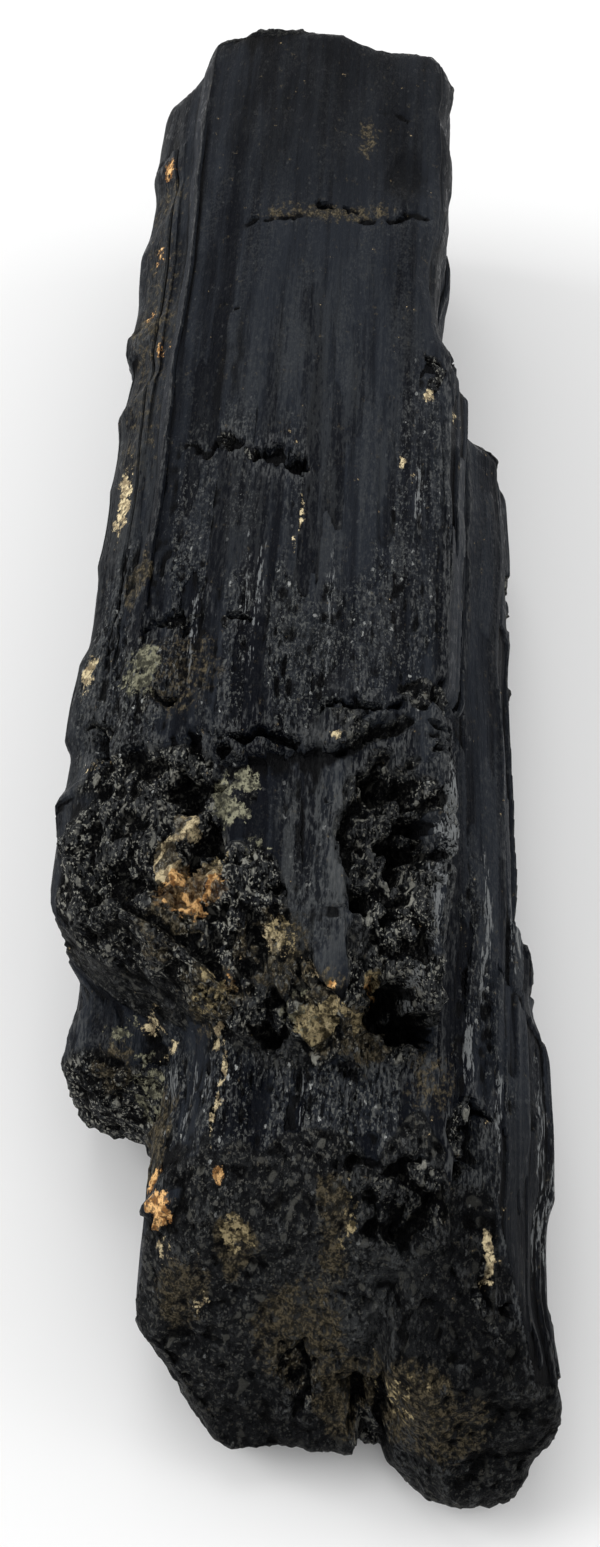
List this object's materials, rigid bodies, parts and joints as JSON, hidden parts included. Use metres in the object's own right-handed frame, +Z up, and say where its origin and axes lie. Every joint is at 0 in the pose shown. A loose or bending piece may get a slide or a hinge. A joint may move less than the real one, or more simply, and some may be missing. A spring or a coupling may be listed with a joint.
{
  "type": "tourmaline crystal",
  "caption": "Rough black tourmaline log: parallel ribbed columns grown together, with stepped broken ends, lying on its side.",
  "frame": {"origin": "bottom centre of the bounding box, on the surface that the log rests on", "axes": "+Y along the log towards its far end, +Z up, +X to the right seen from the broken near end"},
  "size_m": [0.041, 0.146, 0.0307],
  "materials": {
    "black_tourmaline": "near-black with a blue-grey sheen, ribbed and semi-glossy on grown faces, granular and glittering where broken, with ochre and cream stains"
  },
  "bodies": {
    "root": {"tourmaline_crystal": "black_tourmaline"}
  },
  "joints": []
}
